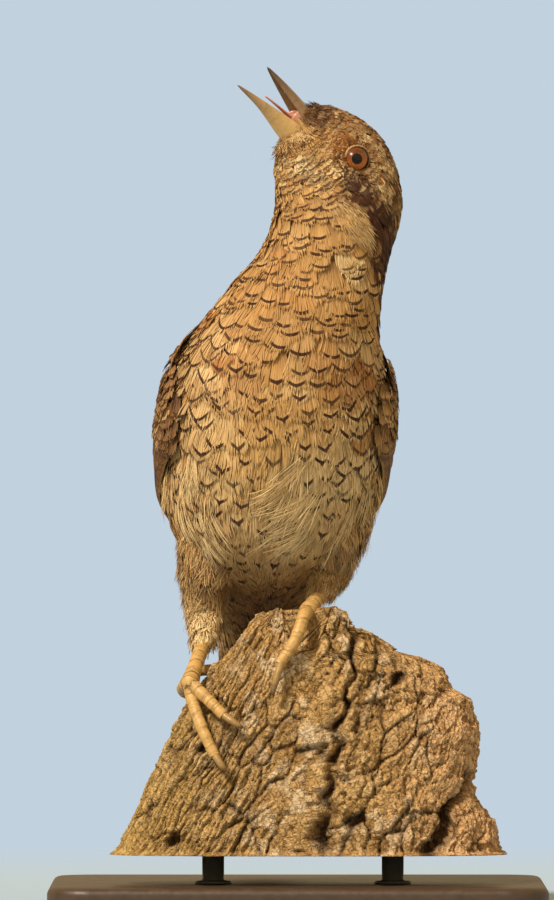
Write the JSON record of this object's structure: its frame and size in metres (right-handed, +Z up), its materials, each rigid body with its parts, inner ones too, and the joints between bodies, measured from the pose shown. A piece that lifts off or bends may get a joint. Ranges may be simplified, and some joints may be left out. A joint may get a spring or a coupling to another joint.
{
  "type": "wryneck on a cut trunk perch",
  "caption": "Small mottled brown woodpecker, a wryneck, upright with its head turned and bill open, gripping the broken top of a dead trunk on a plain display stand.",
  "frame": {"origin": "middle of the underside of the stand's board", "axes": "+Z up, the breast faces -Y, +X is the bird's left; the head is turned to the bird's right"},
  "size_m": [0.1, 0.084, 0.1685],
  "materials": {
    "plumage_pale": "soft buff feathers with fine dark bars",
    "plumage_brown": "soft grey-brown feathers, finely mottled",
    "leg_scales": "dull yellow-brown scaled skin",
    "horn_brown": "satin brown horn",
    "horn_pale": "satin pale horn",
    "eye_brown": "wet chestnut eye with a black pupil",
    "tongue_pink": "moist pink skin",
    "dead_bark": "rough, cracked dead bark",
    "stand_board": "dark stained board, satin",
    "stand_steel": "darkened steel rod"
  },
  "bodies": {
    "root": {"trunk": "plumage_pale", "neck": "plumage_pale", "head": "plumage_brown", "tail": "plumage_brown", "wing_left": "plumage_brown", "wing_right": "plumage_brown", "thigh_left": "plumage_pale", "thigh_right": "plumage_pale", "eye_left": "eye_brown", "eye_right": "eye_brown", "bill_upper": "horn_brown", "bill_lower": "horn_pale", "tongue": "tongue_pink", "tarsus_left": "leg_scales", "tarsus_right": "leg_scales", "foot_left": "leg_scales", "foot_right": "leg_scales", "claw_left_1": "horn_brown", "claw_left_2": "horn_brown", "claw_left_3": "horn_brown", "claw_left_4": "horn_brown", "claw_right_1": "horn_brown", "claw_right_2": "horn_brown", "claw_right_3": "horn_brown", "claw_right_4": "horn_brown", "perch": "dead_bark", "stand_base": "stand_board", "stand_rod_left": "stand_steel", "stand_rod_right": "stand_steel"}
  },
  "joints": []
}
